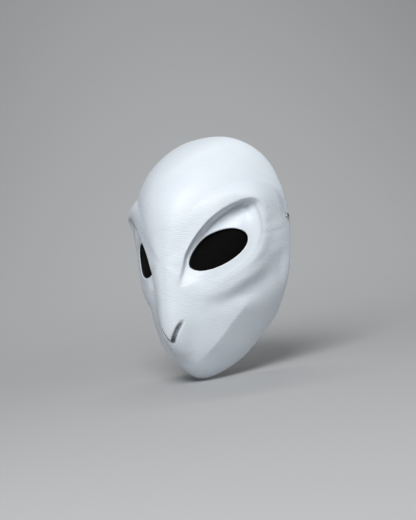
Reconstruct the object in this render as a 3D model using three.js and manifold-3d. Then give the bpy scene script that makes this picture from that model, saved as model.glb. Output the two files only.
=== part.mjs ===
// Creature mask with a short hooked beak, millimetres, +Z up, face towards -Y.
// The back rim lies in the plane y = 0 and eye height is z = 0.
import * as THREE from 'three';
import Module from 'manifold-3d';

const wasm = await Module();
wasm.setup();

// ---- driving sizes -------------------------------------------------------
const wall = 3;                 // shell thickness
const fitGap = 0.3;             // air between touching pieces
const noseDepth = 106.8;        // rim plane to the face along the centre line
const centreDrop = 10;          // the outline's centre, below eye height
// half outline of the rim: angle from the side (degrees), reach from the centre
const rimReach = [[-90, 130.3], [-75, 121.4], [-60, 105.7], [-45, 96.4], [-25, 92.6],
  [0, 94.5], [25, 107.7], [50, 125.6], [70, 131.9], [90, 132]];
const rimForward = [[-90, 63.8], [-70, 31.6], [-50, 1], [-30, 0], [90, 0]];
const domeFlat = [[-90, 3.7], [-60, 3.3], [-30, 2], [0, 1.8], [45, 1.7], [90, 3.2]];
const rimSquare = [[-90, 1.8], [-60, 1.65], [-30, 1.75], [0, 1.5], [45, 1.4], [90, 1.05]];

// features seen from the front: [distance from the centre line, height]
const socketRim = [[14, -35], [18, -24], [21.4, -14], [25.5, -2], [34, 12], [47.5, 28],
  [61, 38], [74, 42.5], [81.5, 39], [85.5, 27], [86, 10], [82, -6], [75, -18], [65, -28],
  [50, -36], [34, -41], [20, -41], [14, -35]];
const browRoll = [[30, 12], [40, 27], [52, 40], [65, 49], [76, 49], [84, 41], [88.5, 30], [89, 16]];
const orbitRim = [[79, 38], [84.5, 25], [85, 10], [82, -5], [77, -16], [68, -26], [50, -37]];
const cheekbone = [[89, -6], [81, -25], [69, -38], [55, -46], [40, -48]];
const cheekHollow = [[93, -10], [89, -22], [80, -39], [67, -50], [53, -58], [32, -60]];
const muzzleBreak = [[67, -56], [58.5, -67], [48, -80], [38.5, -93], [26, -107], [12.7, -118]];
const mouthLine = [[0, -89.6], [5, -82], [9.5, -75], [13, -70.5]];
// features' heights along their lines: [share of the line, millimetres]
// the socket's run from the inner lower corner, over the brow and back under the eye
const socketDepth = [[0, 1], [0.05, 4], [0.12, 8], [0.2, 11], [0.38, 12], [0.46, 9.5],
  [0.54, 5], [0.65, 3], [0.8, 1.2], [0.93, 0], [1, 1]];
const socketStep = [[0, 6], [0.05, 3], [0.1, 2.4], [0.4, 2.6], [0.46, 5], [0.53, 14], [0.7, 18],
  [0.93, 14], [1, 6]];
const rollHeight = [[0, 0], [0.22, 1.2], [0.42, 4.2], [0.62, 8.2], [0.78, 6.5], [0.9, 2.8],
  [1, 0.5]];
const rollWidth = [[0, 14], [0.3, 15], [0.55, 15], [0.8, 13], [1, 10]];
const rollClear = 4;            // the roll stops where the socket is this deep
const orbitHeight = [[0, 0.5], [0.2, 1.6], [0.6, 2], [1, 0.6]];
const orbitWidth = 4;
const cheekHeight = [[0, 1], [0.4, 3.2], [1, 1]];
const cheekWidth = 9;
const hollowDepth = [[0, 1], [0.3, 4.5], [0.7, 4], [1, 0.3]];
const hollowWidth = 8.5;
const muzzleHeight = [[0, 0], [0.2, 3], [0.7, 3.6], [1, 1.2]];
const muzzleWidth = 9;
const muzzleRound = 0.8;        // how far the break is rounded over
// the beak: [height, half width] and [height, how far it stands forward]
const beakHalf = [[-125, 10], [-92, 13], [-70, 16], [-48, 15], [-22, 15], [10, 20], [40, 30]];
const beakForward = [[-122, 0], [-112, 2], [-102, 7], [-92, 11.5], [-84, 13], [-69, 12],
  [-48, 9], [-26, 6], [0, 2.5], [25, 0]];
const beakFlat = 2.6;           // how flat the top of the beak's section is
const beakLip = [[0, 3], [0.3, 1.2], [0.6, 0.4], [1, 0]];
const lipReach = 12;            // how far below the mouth line the lip's drop is felt
const mouthStep = 1.2;          // width of the step along the mouth line
const noseRound = 0.12;         // share of the face over which the egg's tip is rounded
const outerSoft = 8;            // steps are this much wider on the skins, to suit their grid
const innerSoft = 8;
const shellRings = 29;
const shellSpokes = 92;
const reliefFade = 16;          // the relief dies out this far from the rim

const eye = { out: 47.8, up: -3.5, half: 27, high: 17.8, tilt: 26, brow: 2.2 };
const screenLap = 5;            // how far a screen reaches past its eye hole
const screenThick = 1;
const padThick = 8;
const browPad = { out: 0, up: 78, half: 46, high: 15, tilt: 0 };
const cheekPad = { out: 46, up: -62, half: 11, high: 19, tilt: -28 };
const chinPad = { out: 0, up: -104, half: 17, high: 10, tilt: 0 };

const rivetAngle = 17;          // where the strap rivets sit round the rim
const rivetInset = 5.5;           // rivet centre to the rim plane
const rivetShank = 3;
const rivetHead = 5.6;
const rivetDome = 1.6;          // height of the head, and of its straight edge
const rivetBrim = 0.6;
const headLift = 0.7;           // head's underside off the skin at its centre
const washerAcross = 8;
const washerThick = 1.2;
const washerBevel = 0.4;
const holeClear = 0.4;
const cutDepth = 10;            // how far a cutter reaches past its skin
const ovalSteps = 56;           // sides of an eye hole or a pad
const roundSteps = 28;          // facets round a rivet or a hole

const strapWidth = 20;
const strapThick = 1.6;
const tabClear = 6.8;           // strap centre line to the shell's inner skin, at the rivet
const strapTab = 6;             // strap end past the rivet centre
const strapBow = 30;            // how far the relaxed strap stands behind the rim
const strapStraight = 45;       // half of the straight stretch
const strapLean = 3.5;          // how far the strap has turned in a quarter of the way back
const strapSteps = 60;
const sliderAcross = 22;
const sliderBar = 3;
const sliderThick = 2;

// ---- curves --------------------------------------------------------------
function along(table, at) {
  const last = table.length - 1;
  const x = Math.min(Math.max(at, table[0][0]), table[last][0]);
  let i = 0;
  while (i < last - 1 && x > table[i + 1][0]) i += 1;
  const slope = (k) => (k <= 0 || k >= last ? 0
    : (table[k + 1][1] - table[k - 1][1]) / (table[k + 1][0] - table[k - 1][0]));
  const width = table[i + 1][0] - table[i][0];
  const s = (x - table[i][0]) / width;
  return table[i][1] * (1 + 2 * s) * (1 - s) ** 2 + table[i + 1][1] * s * s * (3 - 2 * s)
    + width * (slope(i) * s * (1 - s) ** 2 - slope(i + 1) * s * s * (1 - s));
}

function smooth(value) {
  return THREE.MathUtils.smoothstep(value, 0, 1);
}

function featureLine(points) {
  const curve = new THREE.SplineCurve(points.map(([x, z]) => new THREE.Vector2(x, z)));
  return curve.getPoints((points.length - 1) * 8);
}

// distance from a line, signed distance (positive to the right of its travel), and what each
// table gives there, blended over the parts of the line within reach
function nearest(line, x, z, ...tables) {
  const last = line.length - 1;
  let best = Infinity;
  let side = 0;
  let weight = 0;
  const sums = tables.map(() => 0);
  for (let i = 0; i < last; i += 1) {
    const run = line[i + 1].clone().sub(line[i]);
    const to = new THREE.Vector2(x, z).sub(line[i]);
    const s = THREE.MathUtils.clamp(to.dot(run) / run.lengthSq(), 0, 1);
    const far = to.clone().addScaledVector(run, -s).length();
    if (far < best) {
      best = far;
      side = Math.sign(to.x * run.y - to.y * run.x);
    }
    const pull = run.length() / (far * far + 1) ** 2;
    weight += pull;
    tables.forEach((table, k) => {
      sums[k] += pull * along(table, (i + 0.5) / last);
    });
  }
  return { far: best, signed: best * side, values: sums.map((sum) => sum / weight) };
}

const lines = {
  socket: featureLine(socketRim),
  roll: featureLine(browRoll),
  orbit: featureLine(orbitRim),
  cheek: featureLine(cheekbone),
  hollow: featureLine(cheekHollow),
  muzzle: featureLine(muzzleBreak),
  mouth: featureLine(mouthLine),
};

// ---- the shell's surface -------------------------------------------------
function basePoint(share, angle) {
  const turned = THREE.MathUtils.radToDeg(Math.asin(Math.sin(angle)));
  const reach = share * along(rimReach, turned);
  const rim = Math.max(along(rimForward, turned), 0);
  const soft = noseRound ** 2;
  const power = along(domeFlat, turned) / 2 - 1;
  const fall = Math.max(1 - share ** 2 * ((share ** 2 + soft) / (1 + soft)) ** power, 0);
  const depth = rim + (noseDepth - rim) * fall ** (1 / along(rimSquare, turned));
  return new THREE.Vector3(reach * Math.cos(angle), -depth, reach * Math.sin(angle) - centreDrop);
}

function baseNormal(share, angle) {
  const step = 1e-3;
  const outward = basePoint(Math.min(share + step, 1), angle);
  outward.sub(basePoint(Math.max(share - step, 0), angle));
  const round = basePoint(Math.max(share, step), angle + step);
  round.sub(basePoint(Math.max(share, step), angle - step));
  return outward.cross(round).normalize();
}

function socket(x, z, soften) {
  const { signed, values: [deep, narrow] } = nearest(lines.socket, x, z, socketDepth, socketStep);
  const inside = smooth((signed + soften / 2) / (narrow + soften) + 0.2);
  return { drop: deep * inside, keep: 1 - inside * Math.min(deep / rollClear, 1) };
}

function ridge(line, table, width, x, z) {
  const { far, values: [height] } = nearest(line, x, z, table);
  return height * Math.exp(-((far / width) ** 2));
}

// how far the face stands off the egg
function relief(x, z, soften) {
  const pit = socket(x, z, soften);
  const roll = nearest(lines.roll, x, z, rollHeight, rollWidth);
  const round = Math.max(1 - (roll.far / roll.values[1]) ** 2, 0) ** 1.3;
  const corner = nearest(lines.muzzle, x, z, muzzleHeight);
  const mouth = nearest(lines.mouth, x, z, beakLip);
  const below = smooth(mouth.signed / (mouthStep + soften) + 0.1);
  return roll.values[0] * round * pit.keep - pit.drop
    + ridge(lines.orbit, orbitHeight, orbitWidth, x, z)
    + ridge(lines.cheek, cheekHeight, cheekWidth, x, z)
    - ridge(lines.hollow, hollowDepth, hollowWidth, x, z)
    + corner.values[0] * Math.exp(-Math.hypot(corner.far, muzzleRound + soften) / muzzleWidth)
    + along(beakForward, z) * Math.exp(-((x / along(beakHalf, z)) ** beakFlat))
    - mouth.values[0] * below * Math.exp(-Math.max(mouth.signed, 0) / lipReach);
}

// inset 0 is the outer skin; deeper ones follow it more softly
function skinPoint(share, angle, inset) {
  const point = basePoint(share, angle);
  const rim = basePoint(1, angle).y;
  const fade = smooth((rim - point.y) / reliefFade);
  const lift = relief(Math.abs(point.x), point.z, inset > 0 ? innerSoft : outerSoft);
  point.addScaledVector(baseNormal(share, angle), lift * fade - inset);
  point.y = Math.min(point.y, rim);
  return point;
}

// ---- solids --------------------------------------------------------------
// a closed body between two skins over one disc: rings out from a middle point
function betweenSkins(front, back, rings, spokes) {
  const places = [];
  const index = [];
  const skins = [front, back];
  skins.forEach((skin, layer) => {
    const start = layer * (1 + rings * spokes);
    const spot = (ring, spoke) => start + 1 + (ring - 1) * spokes + (spoke % spokes);
    const push = (a, b, c) => index.push(...(layer === 0 ? [a, b, c] : [a, c, b]));
    places.push(skin(0, 0));
    for (let ring = 1; ring <= rings; ring += 1) {
      for (let spoke = 0; spoke < spokes; spoke += 1) {
        places.push(skin(ring / rings, (spoke / spokes) * 2 * Math.PI));
        if (ring === 1) push(start, spot(1, spoke), spot(1, spoke + 1));
        if (ring > 1) {
          const [a, b, c, d] = [spot(ring - 1, spoke), spot(ring, spoke),
            spot(ring, spoke + 1), spot(ring - 1, spoke + 1)];
          const right = Math.cos(((spoke + 0.5) / spokes) * 2 * Math.PI) > 0;
          push(a, b, right ? d : c);
          push(right ? b : a, c, d);
        }
      }
    }
  });
  const edge = (layer, spoke) => layer * (1 + rings * spokes) + 1 + (rings - 1) * spokes
    + (spoke % spokes);
  for (let spoke = 0; spoke < spokes; spoke += 1) {
    index.push(edge(0, spoke), edge(1, spoke), edge(1, spoke + 1));
    index.push(edge(0, spoke), edge(1, spoke + 1), edge(0, spoke + 1));
  }
  const geometry = new THREE.BufferGeometry().setFromPoints(places);
  geometry.setIndex(index);
  return geometry;
}

function toSolid(geometry) {
  const points = new Map();
  const vertProperties = [];
  const position = geometry.getAttribute('position');
  const order = geometry.index ? Array.from(geometry.index.array)
    : Array.from({ length: position.count }, (_, i) => i);
  const triVerts = order.map((i) => {
    const place = [position.getX(i), position.getY(i), position.getZ(i)];
    const key = place.map((value) => value.toFixed(4)).join();
    if (!points.has(key)) {
      points.set(key, points.size);
      vertProperties.push(...place);
    }
    return points.get(key);
  });
  return new wasm.Manifold(new wasm.Mesh({
    numProp: 3,
    vertProperties: new Float32Array(vertProperties),
    triVerts: new Uint32Array(triVerts),
  }));
}

function toGeometry(solid) {
  const mesh = solid.getMesh();
  const geometry = new THREE.BufferGeometry();
  geometry.setAttribute('position', new THREE.BufferAttribute(mesh.vertProperties, 3));
  geometry.setIndex(new THREE.BufferAttribute(mesh.triVerts, 1));
  geometry.computeVertexNormals();
  return geometry;
}

function cutBy(geometry, cutters) {
  return toGeometry(cutters.reduce((body, cutter) => body.subtract(toSolid(cutter)),
    toSolid(geometry)));
}

function joined(pieces) {
  return toGeometry(pieces.map(toSolid).reduce((body, piece) => body.add(piece)));
}

// the body between two distances from the outer skin, on the shell's own grid
function shellLayer(from, to) {
  const ring = (share) => Math.sin(share * Math.PI / 2);
  return betweenSkins((share, angle) => skinPoint(ring(share), angle, from),
    (share, angle) => skinPoint(ring(share), angle, to), shellRings, shellSpokes);
}

// a point of an oval's outline; an eye's stops short of the brow's edge by its brow distance
function ovalPoint(oval, turn, lap) {
  const tilt = THREE.MathUtils.degToRad(oval.tilt);
  const rim = new THREE.Vector2((oval.half + lap) * Math.cos(turn), (oval.high + lap) * Math.sin(turn));
  rim.rotateAround(new THREE.Vector2(), tilt);
  const middle = new THREE.Vector2(oval.out, oval.up);
  let reach = 1;
  const at = () => rim.clone().multiplyScalar(reach).add(middle);
  while (oval.brow && nearest(lines.socket, at().x, at().y).signed < oval.brow - lap) reach -= 0.01;
  return at();
}

// an upright oval post that runs from the rim plane out past the face
function ovalPost(oval, side, lap) {
  const outline = new THREE.Shape(Array.from({ length: ovalSteps }, (_, i) => {
    const point = ovalPoint(oval, (side * i / ovalSteps) * 2 * Math.PI, lap);
    return new THREE.Vector2(side * point.x, point.y);
  }));
  const depth = noseDepth + 2 * wall;
  const post = new THREE.ExtrudeGeometry(outline, { depth, bevelEnabled: false });
  return post.rotateX(Math.PI / 2);
}

function liningPatch(oval, side, thick, lap = 0) {
  const layer = shellLayer(wall + fitGap, wall + fitGap + thick);
  return toGeometry(toSolid(layer).intersect(toSolid(ovalPost(oval, side, lap))));
}

// ---- strap rivets --------------------------------------------------------
// where the wall stands at the rivet: the share at which the base is rivetInset deep
function rivetShare(angle) {
  let low = 0.5;
  let high = 1;
  for (let turn = 0; turn < 40; turn += 1) {
    const middle = (low + high) / 2;
    if (-basePoint(middle, angle).y > rivetInset) low = middle;
    else high = middle;
  }
  return low;
}

function rivetSeat(side) {
  const angle = THREE.MathUtils.degToRad(side > 0 ? rivetAngle : 180 - rivetAngle);
  const share = rivetShare(angle);
  return { point: skinPoint(share, angle, 0), normal: baseNormal(share, angle) };
}

const seatRight = rivetSeat(1);
const strapHeight = seatRight.point.z;
// the strap's ends stand upright, clear of the wall's inner skin in front of the rivet
const tabX = skinPoint(rivetShare(THREE.MathUtils.degToRad(rivetAngle)),
  THREE.MathUtils.degToRad(rivetAngle), wall).x - tabClear;

function lathed(profile, segments = roundSteps) {
  const points = profile.map(([radius, height]) => new THREE.Vector2(radius, height));
  return new THREE.LatheGeometry(points, segments);
}

// stands a lathe-made piece on the shell at a rivet, its axis along X
function atRivet(geometry, side, x) {
  geometry.rotateZ(-side * Math.PI / 2);
  return geometry.translate(side * x, -rivetInset, strapHeight);
}

const headSeat = seatRight.point.x + fitGap + headLift;
const rivetLength = headSeat - tabX + strapThick / 2 + washerThick + 2 * fitGap;

function rivet(side) {
  const shank = rivetShank / 2;
  const head = rivetHead / 2;
  const dome = [];
  const steps = 6;
  for (let step = 0; step <= steps; step += 1) {
    const turn = (step / steps) * Math.PI / 2;
    dome.push([head * Math.cos(turn), rivetBrim + (rivetDome - rivetBrim) * Math.sin(turn)]);
  }
  dome[steps][0] = 0;
  return atRivet(lathed([[0, -rivetLength], [shank, -rivetLength], [shank, 0], [head, 0],
    ...dome]), side, headSeat);
}

function washer(side) {
  const bore = rivetShank / 2 + fitGap;
  const edge = washerAcross / 2;
  const inner = tabX - strapThick / 2 - fitGap;
  return atRivet(lathed([[bore, -washerThick], [edge, -washerThick], [edge, -washerBevel],
    [edge - washerBevel, 0], [bore, 0], [bore, -washerThick]]), side, inner);
}

function rivetCutter(side) {
  const radius = rivetShank / 2 + holeClear;
  const cutter = new THREE.CylinderGeometry(radius, radius, 4 * cutDepth, roundSteps);
  return atRivet(cutter, side, seatRight.point.x);
}

// a flat seat for the rivet's head
function seatCutter(side) {
  const radius = rivetHead / 2 + fitGap;
  const cutter = new THREE.CylinderGeometry(radius, radius, cutDepth, roundSteps);
  return atRivet(cutter, side, headSeat - fitGap + cutDepth / 2);
}

// ---- strap ---------------------------------------------------------------
function strapPath() {
  const half = [
    new THREE.Vector3(tabX, -rivetInset - strapTab, 0),
    new THREE.Vector3(tabX, -rivetInset, 0),
    new THREE.Vector3(tabX, -rivetInset + strapTab, 0),
    new THREE.Vector3(tabX - strapLean, strapBow * 0.28, 0),
    new THREE.Vector3((tabX + strapStraight) / 2 + strapTab, strapBow * 0.78, 0),
    new THREE.Vector3(strapStraight * 1.2, strapBow, 0),
    new THREE.Vector3(strapStraight, strapBow, 0),
  ];
  const other = half.map((p) => new THREE.Vector3(-p.x, p.y, 0)).reverse();
  return new THREE.CatmullRomCurve3([...half, ...other], false, 'centripetal');
}

function strap() {
  const path = strapPath().getSpacedPoints(strapSteps);
  const outer = [];
  const inner = [];
  path.forEach((point, i) => {
    const run = path[Math.min(i + 1, path.length - 1)].clone().sub(path[Math.max(i - 1, 0)]);
    const across = new THREE.Vector2(run.y, -run.x).normalize().multiplyScalar(strapThick / 2);
    outer.push(new THREE.Vector2(point.x + across.x, point.y + across.y));
    inner.unshift(new THREE.Vector2(point.x - across.x, point.y - across.y));
  });
  const band = new THREE.ExtrudeGeometry(new THREE.Shape([...outer, ...inner]),
    { depth: strapWidth, bevelEnabled: false });
  band.translate(0, 0, strapHeight - strapWidth / 2);
  return cutBy(band, [rivetCutter(1), rivetCutter(-1)]);
}

// a three-bar slider: its outer bars pass behind the strap and its middle bar in front
function slider() {
  const rail = strapWidth / 2 + fitGap + sliderBar / 2;
  const reach = strapThick / 2 + fitGap + sliderThick / 2;
  const bar = (x, y) => new THREE.BoxGeometry(sliderBar, sliderThick, 2 * rail + sliderBar)
    .translate(x, y, 0);
  const edge = (sliderAcross - sliderBar) / 2;
  const rails = [-rail, rail].map((z) => new THREE.BoxGeometry(sliderAcross,
    2 * reach + sliderThick, sliderBar).translate(0, 0, z));
  return joined([...rails, bar(-edge, reach), bar(edge, reach), bar(0, -reach)]);
}

// ---- the assembly --------------------------------------------------------
const lacquer = new THREE.MeshStandardMaterial({ color: 0xdde6ee, roughness: 0.38 });
const gauze = new THREE.MeshStandardMaterial({ color: 0x141415, roughness: 0.9 });
const foam = new THREE.MeshStandardMaterial({ color: 0x2c2d30, roughness: 0.95 });
const nickel = new THREE.MeshStandardMaterial({ color: 0xc9c9c6, roughness: 0.3, metalness: 1 });
const webbing = new THREE.MeshStandardMaterial({ color: 0x1b1b1d, roughness: 0.85 });
const acetal = new THREE.MeshStandardMaterial({ color: 0x161617, roughness: 0.45 });

const mask = new THREE.Group();

function place(name, geometry, material) {
  const mesh = new THREE.Mesh(geometry, material);
  mesh.name = name;
  mask.add(mesh);
  return mesh;
}

const sides = [['left', -1], ['right', 1]];
place('mask_shell', cutBy(shellLayer(0, wall), sides.flatMap(([, side]) => [
  ovalPost(eye, side, 0), rivetCutter(side), seatCutter(side)])), lacquer);

for (const [name, side] of sides) {
  place(`eye_screen_${name}`, liningPatch(eye, side, screenThick, screenLap), gauze);
  place(`cheek_pad_${name}`, liningPatch(cheekPad, side, padThick), foam);
  place(`strap_rivet_${name}`, rivet(side), nickel);
  place(`rivet_washer_${name}`, washer(side), nickel);
}
place('brow_pad', liningPatch(browPad, 1, padThick), foam);
place('chin_pad', liningPatch(chinPad, 1, padThick), foam);
place('head_strap', strap(), webbing);
place('strap_slider', slider(), acetal).position.set(0, strapBow, strapHeight);

export default mask;
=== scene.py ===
import math

import bmesh
import bpy
import numpy as np
from mathutils import Matrix, Vector


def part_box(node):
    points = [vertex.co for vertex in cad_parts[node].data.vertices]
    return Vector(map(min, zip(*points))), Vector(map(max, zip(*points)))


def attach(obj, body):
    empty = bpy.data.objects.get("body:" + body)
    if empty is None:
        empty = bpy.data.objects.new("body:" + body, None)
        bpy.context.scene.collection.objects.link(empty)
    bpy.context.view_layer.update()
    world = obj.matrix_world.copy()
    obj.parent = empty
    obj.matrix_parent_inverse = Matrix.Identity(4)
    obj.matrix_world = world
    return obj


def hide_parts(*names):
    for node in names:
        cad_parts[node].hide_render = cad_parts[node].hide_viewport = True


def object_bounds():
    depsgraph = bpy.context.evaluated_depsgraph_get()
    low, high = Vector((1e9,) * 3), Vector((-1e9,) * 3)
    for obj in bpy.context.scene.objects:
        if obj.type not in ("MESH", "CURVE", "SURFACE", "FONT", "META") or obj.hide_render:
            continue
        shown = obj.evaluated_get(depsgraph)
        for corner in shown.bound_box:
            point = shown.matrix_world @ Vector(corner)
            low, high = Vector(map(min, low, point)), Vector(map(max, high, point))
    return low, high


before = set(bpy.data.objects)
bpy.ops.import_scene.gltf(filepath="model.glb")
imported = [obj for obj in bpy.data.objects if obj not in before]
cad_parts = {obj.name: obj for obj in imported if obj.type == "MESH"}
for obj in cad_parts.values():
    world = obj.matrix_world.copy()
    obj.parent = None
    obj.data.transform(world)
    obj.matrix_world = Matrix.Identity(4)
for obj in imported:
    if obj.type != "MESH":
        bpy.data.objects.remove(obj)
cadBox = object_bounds()
mm = 0.001


# small helpers
def hexColour(code):
    # sRGB hex to linear RGBA
    parts = [int(code[i:i + 2], 16) / 255 for i in (1, 3, 5)]
    return tuple(p / 12.92 if p <= 0.04045 else ((p + 0.055) / 1.055) ** 2.4 for p in parts) + (1.0,)


def addNode(tree, kind, settings=None, links=None):
    node = tree.nodes.new(kind)
    for name, value in (settings or {}).items():
        if isinstance(name, str) and hasattr(node, name):
            setattr(node, name, value)
        else:
            node.inputs[name].default_value = value
    for name, source in (links or {}).items():
        tree.links.new(source, node.inputs[name])
    return node


def newMaterial(name):
    material = bpy.data.materials.new(name)
    material.use_nodes = True
    tree = material.node_tree
    return material, tree, tree.nodes["Principled BSDF"]


def meshObject(name, points, faces, materials=(), smooth=True):
    mesh = bpy.data.meshes.new(name)
    mesh.from_pydata([tuple(p) for p in points], [], [tuple(f) for f in faces])
    mesh.validate()
    for material in materials:
        mesh.materials.append(material)
    mesh.polygons.foreach_set("use_smooth", [smooth] * len(mesh.polygons))
    piece = bpy.data.objects.new(name, mesh)
    bpy.context.scene.collection.objects.link(piece)
    return piece


def settle(piece, body, slot, *nodes):
    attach(piece, body)
    if nodes:
        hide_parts(*nodes)


# the face's form, in millimetres: a smooth egg and the features carved on it
egg = {
    "noseDepth": 106.8, "centreDrop": 10, "wall": 3,
    "rimReach": [(-90, 130.3), (-75, 121.4), (-60, 105.7), (-45, 96.4), (-25, 92.6),
                 (0, 94.5), (25, 107.7), (50, 125.6), (70, 131.9), (90, 132)],
    "rimForward": [(-90, 63.8), (-70, 31.6), (-50, 1), (-30, 0), (90, 0)],
    "domeFlat": [(-90, 3.7), (-60, 3.3), (-30, 2), (0, 1.8), (45, 1.7), (90, 3.2)],
    "rimSquare": [(-90, 1.8), (-60, 1.65), (-30, 1.75), (0, 1.5), (45, 1.4), (90, 1.05)],
}
# lines seen from the front: distance from the centre line, height
faceLines = {
    "socketRim": [(14, -35), (18, -24), (21.4, -14), (25.5, -2), (34, 12), (47.5, 28), (61, 38),
                  (74, 42.5), (81.5, 39), (85.5, 27), (86, 10), (82, -6), (75, -18), (65, -28),
                  (50, -36), (34, -41), (20, -41), (14, -35)],
    "browRoll": [(30, 12), (40, 27), (52, 40), (65, 49), (76, 49), (84, 41), (88.5, 30), (89, 16)],
    "orbitRim": [(79, 38), (84.5, 25), (85, 10), (82, -5), (77, -16), (68, -26), (50, -37)],
    "cheekbone": [(89, -6), (81, -25), (69, -38), (55, -46), (40, -48)],
    "cheekHollow": [(93, -10), (89, -22), (80, -39), (67, -50), (53, -58), (32, -60)],
    "muzzleBreak": [(67, -56), (58.5, -67), (48, -80), (38.5, -93), (26, -107), (12.7, -118)],
    "mouthLine": [(0, -89.6), (5, -82), (9.5, -75), (13, -70.5)],
}
# how high or deep a feature is, by its share along the line
carving = {
    # round the socket from its inner lower corner, over the brow and back under the eye
    "socketDepth": [(0, 0.5), (0.05, 2.5), (0.12, 5), (0.2, 8.5), (0.3, 11.5), (0.38, 12),
                    (0.46, 9.5), (0.54, 5), (0.65, 3), (0.8, 1.2), (0.93, 0), (1, 1)],
    "socketStep": [(0, 6), (0.05, 3), (0.1, 2.4), (0.4, 2.6), (0.46, 5), (0.53, 14), (0.7, 18),
                   (0.93, 14), (1, 6)],
    "rollHeight": [(0, 0), (0.22, 1.2), (0.42, 4.2), (0.62, 8.2), (0.78, 6.5), (0.9, 2.8), (1, 0.5)],
    "rollWidth": [(0, 14), (0.3, 15), (0.55, 15), (0.8, 13), (1, 10)],
    "orbitHeight": [(0, 0.5), (0.2, 1.6), (0.6, 2), (1, 0.6)],
    "cheekHeight": [(0, 1), (0.4, 3.2), (1, 1)],
    "hollowDepth": [(0, 1), (0.3, 4.5), (0.7, 4), (1, 0.3)],
    "muzzleHeight": [(0, 0), (0.2, 3), (0.7, 3.6), (1, 1.2)],
    "beakHalf": [(-125, 10), (-92, 13), (-70, 16), (-48, 15), (-22, 15), (10, 20), (40, 30)],
    "beakForward": [(-122, 0), (-112, 2), (-102, 7), (-92, 11.5), (-84, 13), (-69, 12), (-48, 9),
                    (-26, 6), (0, 2.5), (25, 0)],
    "beakLip": [(0, 3), (0.3, 1.2), (0.6, 0.4), (1, 0)],
    "mouthOpen": [(0, 1), (0.7, 1), (0.9, 0.4), (1, 0)], "mouthStep": 1.2,
    "mouthGroove": 4.6, "reliefFade": 16, "noseRound": 0.12,
}
eyeHole = {"out": 47.8, "up": -3.5, "half": 27, "high": 17.8, "tilt": 26, "lip": 1.1, "brow": 1.3}
shellGrid = {"rings": 150, "spokes": 440, "innerRings": 60, "innerSpokes": 176}


def byTable(table, at):
    knots = np.array([k for k, _ in table], float)
    values = np.array([v for _, v in table], float)
    slope = np.zeros_like(values)
    slope[1:-1] = (values[2:] - values[:-2]) / (knots[2:] - knots[:-2])
    at = np.clip(at, knots[0], knots[-1])
    i = np.clip(np.searchsorted(knots, at, side="right") - 1, 0, len(knots) - 2)
    width = knots[i + 1] - knots[i]
    s = (at - knots[i]) / width
    return (values[i] * (1 + 2 * s) * (1 - s) ** 2 + values[i + 1] * s * s * (3 - 2 * s)
            + width * (slope[i] * s * (1 - s) ** 2 - slope[i + 1] * s * s * (1 - s)))


def smooth(value):
    value = np.clip(value, 0, 1)
    return value * value * (3 - 2 * value)


def throughPoints(points, steps=8):
    knots = [points[0], *points, points[-1]]
    line = []
    for a, b, c, d in zip(knots, knots[1:], knots[2:], knots[3:]):
        a, b, c, d = (np.array(p, float) for p in (a, b, c, d))
        for s in np.arange(steps) / steps:
            line.append((2 * b + (c - a) * s + (2 * a - 5 * b + 4 * c - d) * s * s
                         + (3 * b - a - 3 * c + d) * s ** 3) / 2)
    return np.array(line + [np.array(points[-1], float)])


drawn = {name: throughPoints(points) for name, points in faceLines.items()}


def nearest(name, x, z, *tables):
    # distance to a line, signed distance (right of its travel is +), and what each table gives
    # there, blended over the parts of the line within reach
    line = drawn[name]
    count = len(line) - 1
    steps = [byTable(carving[table], (np.arange(count) + 0.5) / count) for table in tables]
    best = np.full(np.shape(x), 1e9)
    signed, weight = np.zeros(np.shape(x)), np.zeros(np.shape(x))
    blended = [np.zeros(np.shape(x)) for _ in tables]
    for i in range(count):
        run = line[i + 1] - line[i]
        toX, toZ = x - line[i][0], z - line[i][1]
        s = np.clip((toX * run[0] + toZ * run[1]) / (run @ run), 0, 1)
        far = np.hypot(toX - s * run[0], toZ - s * run[1])
        hit = far < best
        best = np.where(hit, far, best)
        signed = np.where(hit, far * np.sign(toX * run[1] - toZ * run[0]), signed)
        pull = np.hypot(*run) / (far * far + 1) ** 2
        weight += pull
        for value, step in zip(blended, steps):
            value += pull * step[i]
    return best, signed, *[value / weight for value in blended]


def turnedAngle(angle):
    return np.degrees(np.arcsin(np.clip(np.sin(angle), -1, 1)))


def basePoint(share, angle):
    turned = turnedAngle(angle)
    reach = share * byTable(egg["rimReach"], turned)
    rim = np.maximum(byTable(egg["rimForward"], turned), 0)
    soft = carving["noseRound"] ** 2
    bulge = share ** 2 * ((share ** 2 + soft) / (1 + soft)) ** (byTable(egg["domeFlat"], turned) / 2 - 1)
    fall = np.maximum(1 - bulge, 0)
    depth = rim + (egg["noseDepth"] - rim) * fall ** (1 / byTable(egg["rimSquare"], turned))
    return np.stack([reach * np.cos(angle), -depth, reach * np.sin(angle) - egg["centreDrop"]], -1)


def baseNormal(share, angle):
    step = 1e-3
    outward = basePoint(np.minimum(share + step, 1), angle) - basePoint(np.maximum(share - step, 0), angle)
    held = np.maximum(share, step)
    around = basePoint(held, angle + step) - basePoint(held, angle - step)
    normal = np.cross(outward, around)
    return normal / np.linalg.norm(normal, axis=-1, keepdims=True)


def socket(x, z, soften):
    _, signed, deep, step = nearest("socketRim", x, z, "socketDepth", "socketStep")
    step = step + soften
    inside = smooth((signed + soften / 2) / step + 0.2)
    return deep * inside, 1 - inside * np.minimum(deep / 4, 1)


def ridge(name, heights, width, x, z):
    far, _, height = nearest(name, x, z, heights)
    return height * np.exp(-(far / width) ** 2)


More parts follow.
